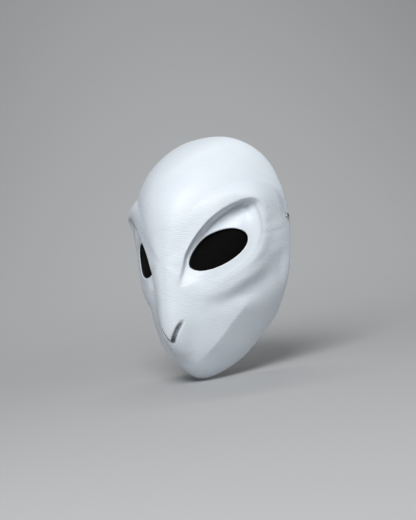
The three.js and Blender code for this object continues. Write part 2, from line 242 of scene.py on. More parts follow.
def relief(x, z, soften):
    # how far the face stands off the egg; soften rounds its steps for the inner skin
    drop, keep = socket(x, z, soften)
    far, _, high, wide = nearest("browRoll", x, z, "rollHeight", "rollWidth")
    lift = high * np.maximum(1 - (far / wide) ** 2, 0) ** 1.3 * keep - drop
    lift += ridge("orbitRim", "orbitHeight", 4, x, z)
    lift += ridge("cheekbone", "cheekHeight", 9, x, z)
    lift -= ridge("cheekHollow", "hollowDepth", 8.5, x, z)
    far, _, high = nearest("muzzleBreak", x, z, "muzzleHeight")
    lift += high * np.exp(-np.hypot(far, 0.8 + soften) / 9)
    lift += byTable(carving["beakForward"], z) * np.exp(-(x / byTable(carving["beakHalf"], z)) ** 2.6)
    _, signed, lip, opened = nearest("mouthLine", x, z, "beakLip", "mouthOpen")
    below = smooth(signed / (carving["mouthStep"] + soften) + 0.1)
    lift -= lip * below * np.exp(-np.maximum(signed, 0) / 12)
    return lift - carving["mouthGroove"] * opened * np.exp(-((signed - 1.1) / (0.8 + soften)) ** 2)


def skinPoint(share, angle, inset=0.0, taut=False):
    # inset 0 is the outer skin; deeper ones follow it more softly, and a taut one only the socket's
    # floor, carried on straight under the brow
    point = basePoint(share, angle)
    normal = baseNormal(share, angle)
    rim = basePoint(np.ones_like(share), angle)[..., 1]
    fade = smooth((rim - point[..., 1]) / carving["reliefFade"])
    x = np.abs(point[..., 0])
    if taut:
        lift = -nearest("socketRim", x, point[..., 2], "socketDepth")[2]
    else:
        lift = relief(x, point[..., 2], min(inset, 4))
    point = point + normal * (lift * fade - inset)[..., None]
    point[..., 1] = np.minimum(point[..., 1], rim)
    return point, normal


def shareAt(x, z):
    # where a point seen from the front lies on the egg
    angle = np.arctan2(z + egg["centreDrop"], x)
    return np.hypot(x, z + egg["centreDrop"]) / byTable(egg["rimReach"], turnedAngle(angle)), angle


def eyeMeasure(x, z, grow=0.0):
    # under 1 inside the eye hole, seen from the front
    tilt = math.radians(eyeHole["tilt"])
    u = np.abs(x) - eyeHole["out"]
    v = z - eyeHole["up"]
    along = (u * math.cos(tilt) + v * math.sin(tilt)) / (eyeHole["half"] + grow)
    across = (v * math.cos(tilt) - u * math.sin(tilt)) / (eyeHole["high"] + grow)
    _, signed = nearest("socketRim", np.abs(x), z)
    short = 1 + (eyeHole["brow"] - grow - signed) / eyeHole["high"]
    # the oval, cut off along the brow with a rounded corner
    oval = np.hypot(along, across)
    blend = np.maximum(0.25 - np.abs(oval - short), 0) / 0.25
    return np.maximum(oval, short) + blend ** 2 * 0.0625


# finishes
lacquer = {
    # one near-black colour here is painted shade, for the mouth line and under the brows
    "colour": "#e2e9f0", "shadow": "#d7dfe7", "painted_shade": "#0b0a0a", "browShade": 0.38,
    "rough": 0.5, "coat": 0.14,
    "layerPitch": 2.2, "grain": 0.9, "rise": 0.00035,
}


def whiteLacquer():
    # satin white spray lacquer on a moulded resin shell: a cool white with faint
    # brushed layer lines that still show in the highlights
    material, tree, shader = newMaterial("white_spray_lacquer")
    place = addNode(tree, "ShaderNodeTexCoord").outputs["Object"]
    cloud = addNode(tree, "ShaderNodeTexNoise", {"Scale": 22.0, "Detail": 4.0}, {"Vector": place})
    tint = addNode(tree, "ShaderNodeMix", {"data_type": "RGBA"}, {0: cloud.outputs["Fac"]})
    tint.inputs[6].default_value = hexColour(lacquer["colour"])
    tint.inputs[7].default_value = hexColour(lacquer["shadow"])
    # painted shade: near-black laid into the mouth line and deep under the brows, where shadow falls
    shadeAttribute = addNode(tree, "ShaderNodeAttribute", {"attribute_name": "painted_shade"})
    withShade = addNode(tree, "ShaderNodeMix", {"data_type": "RGBA"},
                     {0: shadeAttribute.outputs["Fac"], 6: tint.outputs[2]})
    withShade.inputs[7].default_value = hexColour(lacquer["painted_shade"])
    tree.links.new(withShade.outputs[2], shader.inputs["Base Color"])
    # layer lines run level round the mask; real ones are finer than 1 mm
    layers = addNode(tree, "ShaderNodeTexWave", {
        "bands_direction": "Z", "Scale": 314 / lacquer["layerPitch"], "Distortion": 3.0,
        "Detail": 3.0, "Detail Scale": 0.4}, {"Vector": place})
    stretch = addNode(tree, "ShaderNodeMapping", {"Scale": (0.12, 0.12, 1)}, {"Vector": place})
    strokes = addNode(tree, "ShaderNodeTexNoise", {
        "Scale": 1000 / lacquer["grain"], "Detail": 2.0}, {"Vector": stretch.outputs["Vector"]})
    rough = addNode(tree, "ShaderNodeMath", {"operation": "MULTIPLY_ADD", 1: 0.35},
                    {0: layers.outputs["Fac"], 2: strokes.outputs["Fac"]})
    bump = addNode(tree, "ShaderNodeBump", {"Strength": 0.6, "Distance": lacquer["rise"]},
                   {"Height": rough.outputs[0]})
    tree.links.new(bump.outputs["Normal"], shader.inputs["Normal"])
    shader.inputs["Roughness"].default_value = lacquer["rough"]
    shader.inputs["Coat Weight"].default_value = lacquer["coat"]
    shader.inputs["Coat Roughness"].default_value = 0.32
    return material


primer = {"colour": "#101012", "dust": "#1a1a1c", "speck": 1.6, "rise": 0.0002, "rough": 0.85}


def darkLining():
    # matt black primer sprayed inside the shell: swallows the light behind the eye holes, with
    # the fine pebble of dry overspray, drawn coarser than real so that it shows
    material, tree, shader = newMaterial("matt_black_primer")
    place = addNode(tree, "ShaderNodeTexCoord").outputs["Object"]
    mist = addNode(tree, "ShaderNodeTexNoise", {"Scale": 1000 / primer["speck"], "Detail": 3.0},
                   {"Vector": place})
    tone = addNode(tree, "ShaderNodeMix", {"data_type": "RGBA"}, {0: mist.outputs["Fac"]})
    tone.inputs[6].default_value = hexColour(primer["colour"])
    tone.inputs[7].default_value = hexColour(primer["dust"])
    bump = addNode(tree, "ShaderNodeBump", {"Strength": 0.5, "Distance": primer["rise"]},
                   {"Height": mist.outputs["Fac"]})
    tree.links.new(tone.outputs[2], shader.inputs["Base Color"])
    tree.links.new(bump.outputs["Normal"], shader.inputs["Normal"])
    shader.inputs["Roughness"].default_value = primer["rough"]
    return material


lacquerWhite = whiteLacquer()
primerBlack = darkLining()


# shell
def spreadShares(count, angles, inset, edge):
    # shares at even steps along the surface from the middle to just short of the rim
    fine = 1 - (1 - np.linspace(0, 1, 500)) ** 2.2
    share = np.repeat(fine[:, None], len(angles), 1)
    turn = np.repeat(angles[None, :], len(fine), 0)
    path = basePoint(share, turn)
    run = np.linalg.norm(np.diff(path, axis=0), axis=-1)
    length = np.vstack([np.zeros(len(angles)), np.cumsum(run, 0)])
    shares = np.empty((count, len(angles)))
    for j in range(len(angles)):
        wanted = np.arange(1, count + 1) / count * (length[-1, j] - edge)
        shares[:, j] = np.interp(wanted, length[:, j], fine)
    return shares


def holedSkin(rings, spokes, inset, grow, edge):
    # a skin with both eye holes cut cleanly: points, normals, triangles, rim loop
    angles = -math.pi / 2 + np.arange(spokes) * 2 * math.pi / spokes
    share = spreadShares(rings, angles, inset, edge)
    turn = np.repeat(angles[None, :], rings, 0)
    point, normal = skinPoint(share, turn, inset)
    measure = eyeMeasure(point[..., 0], point[..., 2], grow) - 1

    # each grid edge that crosses the outline moves its nearer end onto it
    across = np.argwhere(measure[:-1] * measure[1:] < 0)
    around = np.argwhere(measure * np.roll(measure, -1, 1) < 0)
    ends = np.vstack([np.hstack([across, across + (1, 0)]), np.hstack([around, around + (0, 1)])])
    ringA, spokeA, ringB, spokeB = ends.T
    wrapped = spokeB % spokes
    fromShare, toShare = share[ringA, spokeA], share[ringB, wrapped]
    fromTurn = turn[ringA, spokeA]
    toTurn = turn[ringB, wrapped] + 2 * math.pi * (spokeB // spokes)
    start = measure[ringA, spokeA]
    low, high = np.zeros(len(ends)), np.ones(len(ends))
    for _ in range(14):
        middle = (low + high) / 2
        p, n = skinPoint(fromShare + (toShare - fromShare) * middle,
                         fromTurn + (toTurn - fromTurn) * middle, inset)
        same = (eyeMeasure(p[:, 0], p[:, 2], grow) - 1) * start > 0
        low, high = np.where(same, middle, low), np.where(same, high, middle)
    cost = np.minimum(middle, 1 - middle)
    for k in np.argsort(-cost):
        spot = (ringA[k], spokeA[k]) if middle[k] < 0.5 else (ringB[k], wrapped[k])
        point[spot], normal[spot], measure[spot] = p[k], n[k], 0

    number = 1 + np.arange(rings * spokes).reshape(rings, spokes)
    middle = skinPoint(np.array([1e-4]), np.array([0.0]), inset)
    points = np.vstack([middle[0], point.reshape(-1, 3)])
    normals = np.vstack([middle[1], normal.reshape(-1, 3)])
    triangles = [(0, number[0, j], number[0, (j + 1) % spokes]) for j in range(spokes)]
    for i in range(rings - 1):
        for j in range(spokes):
            k = (j + 1) % spokes
            if measure[i, j] < 0 and measure[i + 1, j] < 0 and measure[i, k] < 0 and measure[i + 1, k] < 0:
                continue
            corners = [number[i, j], number[i + 1, j], number[i + 1, k], number[i, k]]
            onLine = [measure[i, j] == 0, measure[i + 1, j] == 0, measure[i + 1, k] == 0, measure[i, k] == 0]
            first = 1 if onLine[1] and onLine[3] else 0
            ring4 = corners[first:] + corners[:first]
            for tri in ((ring4[0], ring4[1], ring4[2]), (ring4[0], ring4[2], ring4[3])):
                if any(onLine):
                    centre = points[list(tri)].mean(0)
                    if eyeMeasure(centre[0], centre[2], grow) < 1:
                        continue
                triangles.append(tri)
    return points, normals, triangles, number[-1]


def openLoops(triangles):
    # closed chains of edges that only one triangle has
    edges = set()
    for a, b, c in triangles:
        edges.update([(a, b), (b, c), (c, a)])
    after = {a: b for a, b in edges if (b, a) not in edges}
    loops = []
    while after:
        start = next(iter(sorted(after)))
        loop = [start]
        step = after.pop(start)
        while step != start:
            loop.append(step)
            step = after.pop(step)
        loops.append(loop)
    return loops


def zipLoops(first, second, placeFirst, placeSecond):
    # triangles between two loops that run the same way, matched by their places 0..1
    i = j = 0
    bridge = []
    n, m = len(first), len(second)
    while i < n or j < m:
        nextFirst = placeFirst[i + 1] if i + 1 < n else 1 + placeFirst[(i + 1) % n]
        nextSecond = placeSecond[j + 1] if j + 1 < m else 1 + placeSecond[(j + 1) % m]
        if j >= m or (i < n and nextFirst <= nextSecond):
            bridge.append((first[(i + 1) % n], first[i % n], second[j % m]))
            i += 1
        else:
            bridge.append((second[j % m], second[(j + 1) % m], first[i % n]))
            j += 1
    return bridge


def loopPlaces(points, loop, centre):
    # each point's turn round the centre as 0..1, the loop rolled to start at the lowest
    turn = np.arctan2(points[loop, 2] - centre[1], points[loop, 0] - centre[0])
    steps = np.diff(np.unwrap(np.append(turn, turn[0])))
    if steps.sum() < 0:
        turn = -turn
    place = np.mod(turn / (2 * math.pi), 1)
    start = int(np.argmin(place))
    order = list(loop[start:]) + list(loop[:start])
    place = np.concatenate([place[start:], place[:start]])
    return order, np.maximum.accumulate(place)


def joinRows(above, below):
    return [(above[(i + 1) % len(above)], above[i], below[i], below[(i + 1) % len(above)])
            for i in range(len(above))]


def shadePaintDepth(x, z):
    # painted shade: the strength of the shadow painted into the mouth line and into the corner under each
    # brow
    _, signed, opened = nearest("mouthLine", x, z, "mouthOpen")
    mouth = 1.5 * opened * np.exp(-((signed - 1.2) / 0.7) ** 2)
    _, signed, deep = nearest("socketRim", x, z, "socketDepth")
    corner = lacquer["browShade"] * np.minimum(deep / 10, 1) * np.exp(-((signed - 1.0) / 1.3) ** 2)
    return np.clip(np.maximum(mouth, corner), 0, 1)


def maskShell():
    edge = 1.3
    outer, outerNormal, faces, rim = holedSkin(
        shellGrid["rings"], shellGrid["spokes"], 0, eyeHole["lip"], edge)
    inner, _, innerFaces, innerRim = holedSkin(
        shellGrid["innerRings"], shellGrid["innerSpokes"], egg["wall"], 0, edge)
    shift = len(outer)
    points = [*outer, *inner]
    white = [tuple(face) for face in faces]
    black = [tuple(shift + v for v in reversed(face)) for face in innerFaces]
    outerEyes = [loop for loop in openLoops(faces) if len(loop) < shellGrid["spokes"]]
    innerEyes = [loop for loop in openLoops(innerFaces) if len(loop) < shellGrid["innerSpokes"]]

    # eye holes: a rounded lip, then straight back to the inner skin
    for loop in outerEyes:
        side = math.copysign(1, outer[loop, 0].mean())
        centre = (side * eyeHole["out"], eyeHole["up"])
        loop, places = loopPlaces(outer, loop, centre)
        inLoop = next(l for l in innerEyes if inner[l, 0].mean() * side > 0)
        inLoop, inPlaces = loopPlaces(inner, inLoop, centre)
        row = loop
        lipSteps = 5
        for step in range(1, lipSteps + 1):
            bend = step / lipSteps * math.pi / 2
            fresh = []
            for v in loop:
                p, n = outer[v], outerNormal[v]
                e = 1e-3
                slope = np.array([
                    eyeMeasure(p[0] + e, p[2]) - eyeMeasure(p[0] - e, p[2]), 0,
                    eyeMeasure(p[0], p[2] + e) - eyeMeasure(p[0], p[2] - e)])
                inward = -slope / np.linalg.norm(slope)
                inward = inward - n * (inward @ n)
                inward /= np.linalg.norm(inward)
                points.append(p + eyeHole["lip"] * (inward * math.sin(bend) - n * (1 - math.cos(bend))))
                fresh.append(len(points) - 1)
            white += joinRows(row, fresh)
            row = fresh
        black += zipLoops(row, [shift + v for v in inLoop], places, inPlaces)

    # back rim: a half-round edge
    count = len(rim)
    turn = np.arange(count) / count
    innerTurn = np.arange(len(innerRim)) / len(innerRim)
    closedTurn = np.append(innerTurn, 1)
    closedRim = inner[[*innerRim, innerRim[0]]]
    opposite = np.stack([np.interp(turn, closedTurn, closedRim[:, k]) for k in range(3)], -1)
    row = list(rim)
    for step in range(1, 6):
        bend = step / 6 * math.pi
        middle = (outer[rim] + opposite) / 2
        half = (outer[rim] - opposite) / 2
        fresh = middle + half * math.cos(bend) + np.array([0, edge * math.sin(bend), 0])
        ids = list(range(len(points), len(points) + count))
        points += list(fresh)
        white += joinRows(row, ids)
        row = ids
    white += zipLoops(row, [shift + v for v in innerRim], turn, innerTurn)

    shell = meshObject("shell_and_face", np.array(points) * mm, white + black, [lacquerWhite, primerBlack])
    for polygon in shell.data.polygons[len(white):]:
        polygon.material_index = 1
    # painted shade, point by point, in the mouth line and under the brows
    painted_shade = np.zeros(len(points))
    painted_shade[:shift] = shadePaintDepth(np.abs(outer[:, 0]), outer[:, 2])
    shell.data.attributes.new("painted_shade", "FLOAT", "POINT").data.foreach_set("value", painted_shade)
    settle(shell, "mask", "white_lacquer", "mask_shell")
    return shell


shell = maskShell()
print("shell:", len(shell.data.vertices), "points")


# eye screens: black gauze glued behind the holes; their near-black also stands in for the shade inside the
# mask seen through the holes
screen = {"lap": 5, "thick": 0.9, "rings": 14, "around": 96, "thread": 0.9, "sag": 0.6}
fitGap = 0.3


def blackGauzeAndShade():
    # woven polyester gauze dyed black: an even open weave that kills nearly all reflection, with a faint dry
    # sheen; its near-black is partly painted shade, a dark sheet standing in for the shade inside the mask.
    # The threads are drawn coarser than real so that they show
    material, tree, shader = newMaterial("black_gauze_and_painted_shade")
    place = addNode(tree, "ShaderNodeTexCoord").outputs["Object"]
    warp = addNode(tree, "ShaderNodeTexWave", {
        "bands_direction": "X", "Scale": 314 / screen["thread"]}, {"Vector": place})
    weft = addNode(tree, "ShaderNodeTexWave", {
        "bands_direction": "Z", "Scale": 314 / screen["thread"]}, {"Vector": place})
    grid = addNode(tree, "ShaderNodeMath", {"operation": "MAXIMUM"},
                   {0: warp.outputs["Fac"], 1: weft.outputs["Fac"]})
    tone = addNode(tree, "ShaderNodeMix", {"data_type": "RGBA"}, {0: grid.outputs[0]})
    # painted shade: these near-black tones also stand in for the shade behind the eye holes
    tone.inputs[6].default_value = hexColour("#020202")
    tone.inputs[7].default_value = hexColour("#080707")
    bump = addNode(tree, "ShaderNodeBump", {"Strength": 0.5, "Distance": 0.0003},
                   {"Height": grid.outputs[0]})
    tree.links.new(tone.outputs[2], shader.inputs["Base Color"])
    tree.links.new(bump.outputs["Normal"], shader.inputs["Normal"])
    shader.inputs["Roughness"].default_value = 0.9
    shader.inputs["Specular IOR Level"].default_value = 0.1
    return material


def skinBehind(x, z, inset, taut=False):
    # the layer's point that lies at x, z as seen from the front
    seekX, seekZ = np.array(x, float), np.array(z, float)
    for _ in range(12):
        share, angle = shareAt(seekX, seekZ)
        point, normal = skinPoint(np.clip(share, 0, 1), angle, inset, taut)
        seekX, seekZ = seekX + (x - point[..., 0]) * 0.8, seekZ + (z - point[..., 2]) * 0.8
    return point, normal


def ovalDisc(oval, side, lap, rings, around):
    # front-view places of rings round an oval's middle, the middle first
    share = np.arange(1, rings + 1) / rings
    angle = np.arange(around) * 2 * math.pi / around
    s, a = np.meshgrid(share, angle, indexing="ij")
    tilt = math.radians(oval["tilt"])
    u = s * (oval["half"] + lap) * np.cos(a)
    v = s * (oval["high"] + lap) * np.sin(a)
    x = oval["out"] + u * math.cos(tilt) - v * math.sin(tilt)
    z = oval["up"] + u * math.sin(tilt) + v * math.cos(tilt)
    x = np.append(oval["out"], x.ravel()) * side
    return x, np.append(oval["up"], z.ravel()), np.append(0, s.ravel())


def discFaces(rings, around, start, flip):
    faces = []
    for j in range(around):
        k = (j + 1) % around
        faces.append((start, start + 1 + j, start + 1 + k))
        for i in range(rings - 1):
            a, b = start + 1 + i * around, start + 1 + (i + 1) * around
            faces.append((a + j, b + j, b + k, a + k))
    return [tuple(reversed(f)) for f in faces] if flip else faces


def closedPatch(front, back, rings, around, flip):
    # two like discs and the band between their edges
    count = len(front)
    faces = discFaces(rings, around, 0, flip) + discFaces(rings, around, count, not flip)
    edge = 1 + (rings - 1) * around
    for j in range(around):
        k = (j + 1) % around
        band = (edge + j, count + edge + j, count + edge + k, edge + k)
        faces.append(tuple(reversed(band)) if flip else band)
    return np.vstack([front, back]), faces


def eyeScreen(side, name):
    x, z, share = ovalDisc(eyeHole, side, screen["lap"], screen["rings"], screen["around"])
    front, normal = skinBehind(x, z, egg["wall"] + fitGap + 0.5, taut=True)
    sag = screen["sag"] * (1 - share ** 2)
    front = front - normal * sag[:, None]
    back = front - normal * screen["thick"]
    points, faces = closedPatch(front, back, screen["rings"], screen["around"], side < 0)
    piece = meshObject("gauze_screen_" + name, points * mm, faces, [gauzeAndShade])
    settle(piece, "mask", "black_gauze", "eye_screen_" + name)


gauzeAndShade = blackGauzeAndShade()
for side, name in ((-1, "left"), (1, "right")):
    eyeScreen(side, name)
print("eye screens")


# foam pads: knit-faced, glued to the inside
pads = {
    "brow_pad": {"out": 0, "up": 78, "half": 46, "high": 15, "tilt": 0, "side": 1},
    "cheek_pad_left": {"out": 46, "up": -62, "half": 11, "high": 19, "tilt": -28, "side": -1},
    "cheek_pad_right": {"out": 46, "up": -62, "half": 11, "high": 19, "tilt": -28, "side": 1},
    "chin_pad": {"out": 0, "up": -104, "half": 17, "high": 10, "tilt": 0, "side": 1},
}
padBuild = {"thick": 8, "inset": 0.6, "rings": 16, "around": 72, "pressure": 4, "mostSwell": 1.6,
            "knit": 1.2, "seam": 0.8}


def knitFoam():
    # charcoal tricot knit over soft foam: matt, slightly furry, ribs a little over a
    # millimetre apart, drawn coarser than the real knit so that they show
    material, tree, shader = newMaterial("charcoal_tricot_over_foam")
    place = addNode(tree, "ShaderNodeTexCoord").outputs["Object"]
    rib = addNode(tree, "ShaderNodeTexWave", {
        "bands_direction": "DIAGONAL", "Scale": 314 / padBuild["knit"], "Distortion": 1.2,
        "Detail": 2.0}, {"Vector": place})
    fluff = addNode(tree, "ShaderNodeTexNoise", {"Scale": 900.0, "Detail": 3.0}, {"Vector": place})
    weave = addNode(tree, "ShaderNodeMath", {"operation": "MULTIPLY_ADD", 1: 0.6},
                    {0: rib.outputs["Fac"], 2: fluff.outputs["Fac"]})
    tone = addNode(tree, "ShaderNodeMix", {"data_type": "RGBA"}, {0: fluff.outputs["Fac"]})
    tone.inputs[6].default_value = hexColour("#232427")
    tone.inputs[7].default_value = hexColour("#3b3c40")
    bump = addNode(tree, "ShaderNodeBump", {"Strength": 0.6, "Distance": 0.0004},
                   {"Height": weave.outputs[0]})
    tree.links.new(tone.outputs[2], shader.inputs["Base Color"])
    tree.links.new(bump.outputs["Normal"], shader.inputs["Normal"])
    shader.inputs["Roughness"].default_value = 0.95
    shader.inputs["Sheen Weight"].default_value = 0.35
    return material


def inflate(piece, held):
    # swells a pad under air pressure while its glued side stays put
    start = [v.co.copy() for v in piece.data.vertices]
    group = piece.vertex_groups.new(name="glued")
    group.add(held, 1.0, "REPLACE")
    cloth = piece.modifiers.new("swell", "CLOTH")
    cloth.settings.quality = 6
    cloth.settings.use_pressure = True
    cloth.settings.uniform_pressure_force = padBuild["pressure"]
    cloth.settings.effector_weights.gravity = 0
    cloth.settings.vertex_group_mass = "glued"
    cloth.point_cache.frame_start = 1
    cloth.point_cache.frame_end = 20
    scene = bpy.context.scene
    for count in range(1, 21):
        scene.frame_set(count)
    solved = piece.evaluated_get(bpy.context.evaluated_depsgraph_get()).to_mesh()
    for vertex, moved, before in zip(piece.data.vertices, solved.vertices, start):
        shift = moved.co - before
        most = padBuild["mostSwell"] * mm
        if shift.length > most:
            shift *= most / shift.length
        vertex.co = before + shift
    piece.modifiers.remove(cloth)
    piece.vertex_groups.remove(group)
    scene.frame_set(1)


def foamPad(node):
    oval = pads[node]
    rings, around = padBuild["rings"], padBuild["around"]
    x, z, share = ovalDisc(oval, oval["side"], -padBuild["inset"], rings, around)
    glued, normal = skinBehind(x, z, egg["wall"] + fitGap + 0.15)
    # crowned: full in the middle, rolled over at the edge, with a seam line round it
    rise = (padBuild["thick"] - padBuild["mostSwell"] - 0.6) * (1 - share ** 6) ** 0.5 + 0.6
    rise -= padBuild["seam"] * np.exp(-((share - 0.86) / 0.03) ** 2)
    crown = glued - normal * rise[:, None]
    points, faces = closedPatch(glued, crown, rings, around, oval["side"] < 0)
    piece = meshObject("foam_" + node, points * mm, faces, [foamCloth])
    inflate(piece, list(range(len(glued))))
    smoother = piece.modifiers.new("smooth_cover", "SUBSURF")
    smoother.levels = smoother.render_levels = 1
    settle(piece, "mask", "foam", node)


foamCloth = knitFoam()
for node in pads:
    foamPad(node)
print("foam pads")


# strap rivets and washers
fixing = {"head": 2.8, "dome": 1.6, "brim": 0.45, "shank": 1.5, "tail": 2.3,
          "around": 56, "domeSteps": 9, "washerSoft": 0.3}


def brightNickel():
    # nickel-plated brass, tumbled smooth: warm bright metal with faint haze
    material, tree, shader = newMaterial("tumbled_nickel_plate")
    place = addNode(tree, "ShaderNodeTexCoord").outputs["Object"]
    haze = addNode(tree, "ShaderNodeTexNoise", {"Scale": 1400.0, "Detail": 3.0}, {"Vector": place})
    rough = addNode(tree, "ShaderNodeMapRange", {"To Min": 0.28, "To Max": 0.42},
                    {"Value": haze.outputs["Fac"]})
    tree.links.new(rough.outputs["Result"], shader.inputs["Roughness"])
    shader.inputs["Base Color"].default_value = hexColour("#cfcbc2")
    shader.inputs["Metallic"].default_value = 1.0
    return material


nickel = brightNickel()


def lathed(name, profile, origin, side, material):
    # turns a profile of (radius, distance out) round the X line through origin
    around = fixing["around"]
    points, faces, rows = [], [], []
    for radius, out in profile:
        if radius < 1e-6:
            points.append((origin[0] + side * out, origin[1], origin[2]))
            rows.append([len(points) - 1] * around)
            continue
        row = []
        for k in range(around):
            turn = k / around * 2 * math.pi
            points.append((origin[0] + side * out, origin[1] + radius * math.cos(turn),
                           origin[2] + radius * math.sin(turn) * side))
            row.append(len(points) - 1)
        rows.append(row)
    for below, above in zip(rows, rows[1:] if profile[0][0] < 1e-6 else rows[1:] + rows[:1]):
        for k in range(around):
            n = (k + 1) % around
            corner = [below[k], below[n], above[n], above[k]]
            faces.append(tuple(dict.fromkeys(corner)))
    return meshObject(name, np.array(points) * mm, faces, [material])


def rivetAndWasher(side, name):
    low, high = (np.array(corner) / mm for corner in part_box("strap_rivet_" + name))
    centre = (low + high) / 2
    tip = high[0] if side > 0 else -low[0]
    tail = low[0] if side > 0 else -high[0]
    seat = tip - fixing["dome"]
    head, brim, shank = fixing["head"], fixing["brim"], fixing["shank"]
    profile = [(0, tail - 0.15), (fixing["tail"] - 0.4, tail - 0.1), (fixing["tail"], tail + 0.1),
               (fixing["tail"] - 0.1, tail + 0.25), (shank, tail + 0.27), (shank, seat),
               (head - 0.15, seat), (head, seat + 0.15), (head, seat + brim)]
    for step in range(1, fixing["domeSteps"] + 1):
        turn = step / fixing["domeSteps"] * math.pi / 2
        profile.append((head * math.cos(turn), seat + brim + (fixing["dome"] - brim) * math.sin(turn)))
    profile[-1] = (0, tip)
    rivet = lathed("dome_rivet_" + name, profile, (0, centre[1], centre[2]), side, nickel)
    settle(rivet, "mask", "nickel", "strap_rivet_" + name)

    low, high = (np.array(corner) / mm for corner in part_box("rivet_washer_" + name))
    near, far = (low[0], high[0]) if side > 0 else (-high[0], -low[0])
    edge, bore, soft = (high[2] - low[2]) / 2, shank + fitGap, fixing["washerSoft"]
    ring = [(bore, near + soft), (bore + soft, near), (edge - soft, near), (edge, near + soft),
            (edge, far - soft), (edge - soft, far), (bore + soft, far), (bore, far - soft)]
    washer = lathed("washer_ring_" + name, ring, (0, centre[1], centre[2]), side, nickel)
    settle(washer, "mask", "nickel", "rivet_washer_" + name)


for side, name in ((-1, "left"), (1, "right")):
    rivetAndWasher(side, name)
print("rivets and washers")


# elastic head strap
webbing = {"thick": 1.6, "ribs": 8, "ribRise": 0.16, "tab": 6, "straight": 45, "lean": 3.5,
           "along": 170, "across": 49, "pick": 1.0, "stitch": 2.2, "thread": 0.45}


def wovenElastic():
    # braided black elastic: corded ribs along it and fine cross picks, dry and matt; the
    # picks are drawn about twice as coarse as real so that they show
    material, tree, shader = newMaterial("braided_black_elastic")
    place = addNode(tree, "ShaderNodeTexCoord").outputs["Object"]
    pick = addNode(tree, "ShaderNodeTexWave", {
        "bands_direction": "X", "Scale": 314 / webbing["pick"], "Distortion": 0.6}, {"Vector": place})
    lint = addNode(tree, "ShaderNodeTexNoise", {"Scale": 700.0, "Detail": 4.0}, {"Vector": place})
    tone = addNode(tree, "ShaderNodeMix", {"data_type": "RGBA"}, {0: lint.outputs["Fac"]})
    tone.inputs[6].default_value = hexColour("#0e0e10")
    tone.inputs[7].default_value = hexColour("#26262a")
    bump = addNode(tree, "ShaderNodeBump", {"Strength": 0.5, "Distance": 0.0003},
                   {"Height": pick.outputs["Fac"]})
    tree.links.new(tone.outputs[2], shader.inputs["Base Color"])
    tree.links.new(bump.outputs["Normal"], shader.inputs["Normal"])
    shader.inputs["Roughness"].default_value = 0.82
    shader.inputs["Sheen Weight"].default_value = 0.15
    return material


def easyCurve(points, count):
    # evenly spaced points on a centripetal spline through the given ones
    points = [np.array(p, float) for p in points]
    knots = [2 * points[0] - points[1], *points, 2 * points[-1] - points[-2]]
    line = []
    for a, b, c, d in zip(knots, knots[1:], knots[2:], knots[3:]):
        gaps = [max(np.linalg.norm(q - p) ** 0.5, 1e-4) for p, q in ((a, b), (b, c), (c, d))]
        start = ((b - a) / gaps[0] - (c - a) / (gaps[0] + gaps[1]) + (c - b) / gaps[1]) * gaps[1]
        end = ((c - b) / gaps[1] - (d - b) / (gaps[1] + gaps[2]) + (d - c) / gaps[2]) * gaps[1]
        for s in np.arange(40) / 40:
            line.append(b * (2 * s ** 3 - 3 * s * s + 1) + start * (s ** 3 - 2 * s * s + s)
                        + c * (3 * s * s - 2 * s ** 3) + end * (s ** 3 - s * s))
    line = np.array(line + [points[-1]])
    run = np.append(0, np.cumsum(np.linalg.norm(np.diff(line, axis=0), axis=1)))
    wanted = np.linspace(0, run[-1], count + 1)
    return np.stack([np.interp(wanted, run, line[:, 0]), np.interp(wanted, run, line[:, 1])], -1)


strapLow, strapHigh = (np.array(corner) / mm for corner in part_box("head_strap"))
strapMiddle = (strapLow[2] + strapHigh[2]) / 2
strapWide = strapHigh[2] - strapLow[2]
tabX = strapHigh[0] - webbing["thick"] / 2
bow = strapHigh[1] - webbing["thick"] / 2 - 0.2
rivetY = strapLow[1] + webbing["tab"]


def strapLine():
    tab, straight = webbing["tab"], webbing["straight"]
    half = [(tabX, rivetY - tab), (tabX, rivetY), (tabX, rivetY + tab),
            (tabX - webbing["lean"], bow * 0.28), ((tabX + straight) / 2 + tab, bow * 0.78),
            (straight * 1.2, bow), (straight, bow)]
    return easyCurve(half + [(-x, y) for x, y in reversed(half)], webbing["along"])


def headStrap():
    line = strapLine()
    tangent = np.gradient(line, axis=0)
    tangent /= np.linalg.norm(tangent, axis=1)[:, None]
    out = np.stack([tangent[:, 1], -tangent[:, 0]], -1)
    across = np.linspace(-1, 1, webbing["across"])
    # section: corded ribs on both faces, thinning to a soft edge
    half = webbing["thick"] / 2
    section = half * (1 - across ** 24 * 0.55) - webbing["ribRise"] * (
        0.5 + 0.5 * np.cos(across * webbing["ribs"] * math.pi)) * (1 - across ** 8)
    points, faces = [], []
    ring = 2 * len(across)
    for (x, y), (nx, ny) in zip(line, out):
        for face, order in ((1, across), (-1, across[::-1])):
            thickness = section if face > 0 else section[::-1]
            for a, h in zip(order, thickness):
                points.append((x + nx * h * face, y + ny * h * face, strapMiddle + a * strapWide / 2))
    for i in range(len(line) - 1):
        for k in range(ring):
            n = (k + 1) % ring
            faces.append((i * ring + k, i * ring + n, (i + 1) * ring + n, (i + 1) * ring + k))
    faces.append(tuple(range(ring))[::-1])
    faces.append(tuple((len(line) - 1) * ring + k for k in range(ring)))
    band = meshObject("elastic_head_strap", np.array(points) * mm, faces, [elasticBlack])
    settle(band, "strap", "elastic_webbing", "head_strap")


